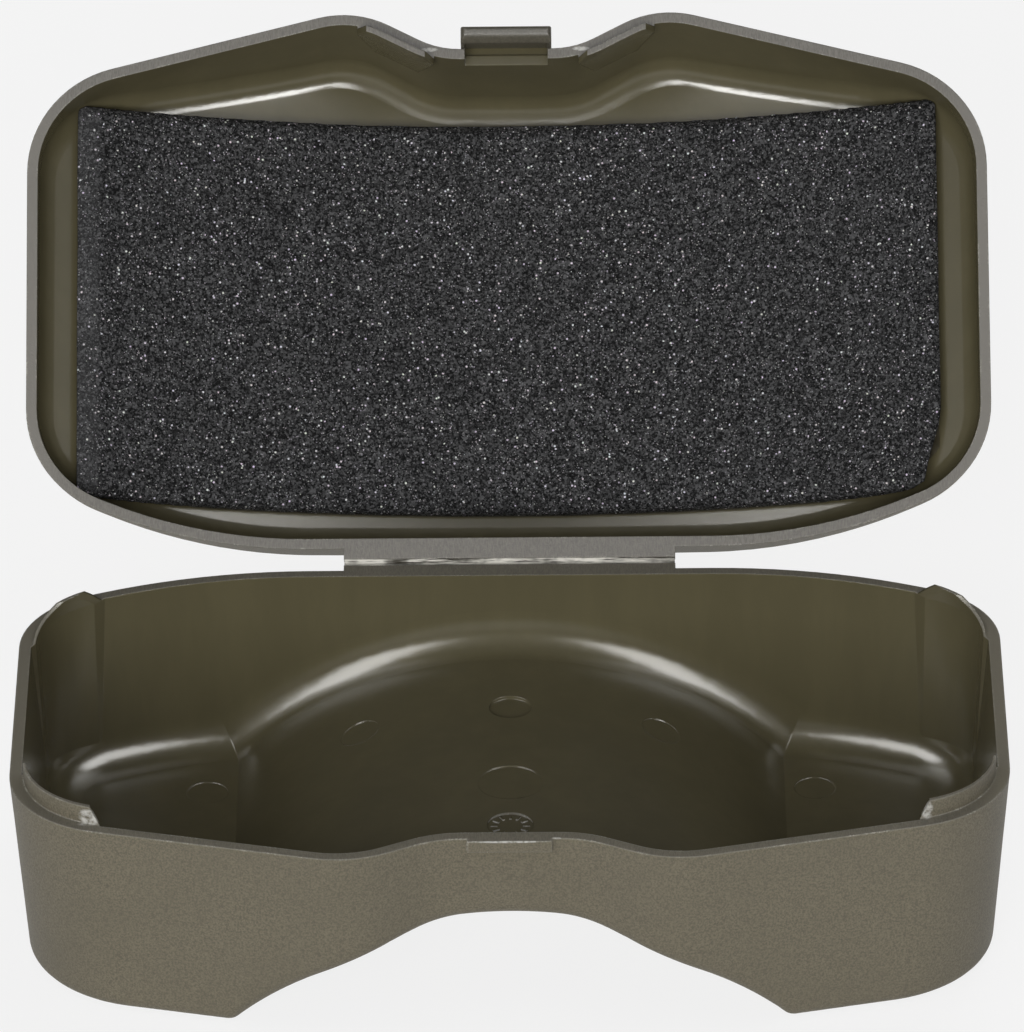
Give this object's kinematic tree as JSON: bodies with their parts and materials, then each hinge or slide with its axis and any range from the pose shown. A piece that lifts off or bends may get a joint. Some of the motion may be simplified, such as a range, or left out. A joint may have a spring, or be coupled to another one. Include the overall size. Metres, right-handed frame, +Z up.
{
  "type": "glasses case",
  "caption": "Moulded glasses case with a deep arched tub, a domed lid on a living hinge, a snap latch and a foam lining, shown open.",
  "frame": {"origin": "on the ground, under the middle of the open case's bounding box", "axes": "+X along the hinge, +Y from the front notch towards the open lid behind, +Z up"},
  "size_m": [0.19, 0.2066, 0.1203],
  "materials": {
    "tub_plastic": "fine grain outside, satin inside",
    "lid_plastic": "fine grain outside, satin inside",
    "flexed_plastic": "whitened where it has been flexed",
    "latch_plastic": "satin",
    "adhesive": "tacky film",
    "foam": "open-cell foam"
  },
  "bodies": {
    "base": {"base_tub": "tub_plastic", "living_hinge": "flexed_plastic"},
    "lid": {"lid_shell": "lid_plastic", "foam_adhesive": "adhesive", "foam_pad": "foam"},
    "latch": {"latch_tongue": "latch_plastic"}
  },
  "joints": [
    {"name": "lid_hinge", "type": "hinge", "parent": "base", "child": "lid", "pos_m": [0, 0.00885, 0.03955], "axis": [-1, 0, 0], "range_deg": [-134.3, 45.7], "deforming": ["living_hinge"]},
    {"name": "latch_flex", "type": "hinge", "parent": "lid", "child": "latch", "pos_m": [0, 0.08784, 0.11448], "axis": [-1, 0, 0], "range_deg": [0, 9], "stiffness_Nm_per_rad": 0.3}
  ]
}
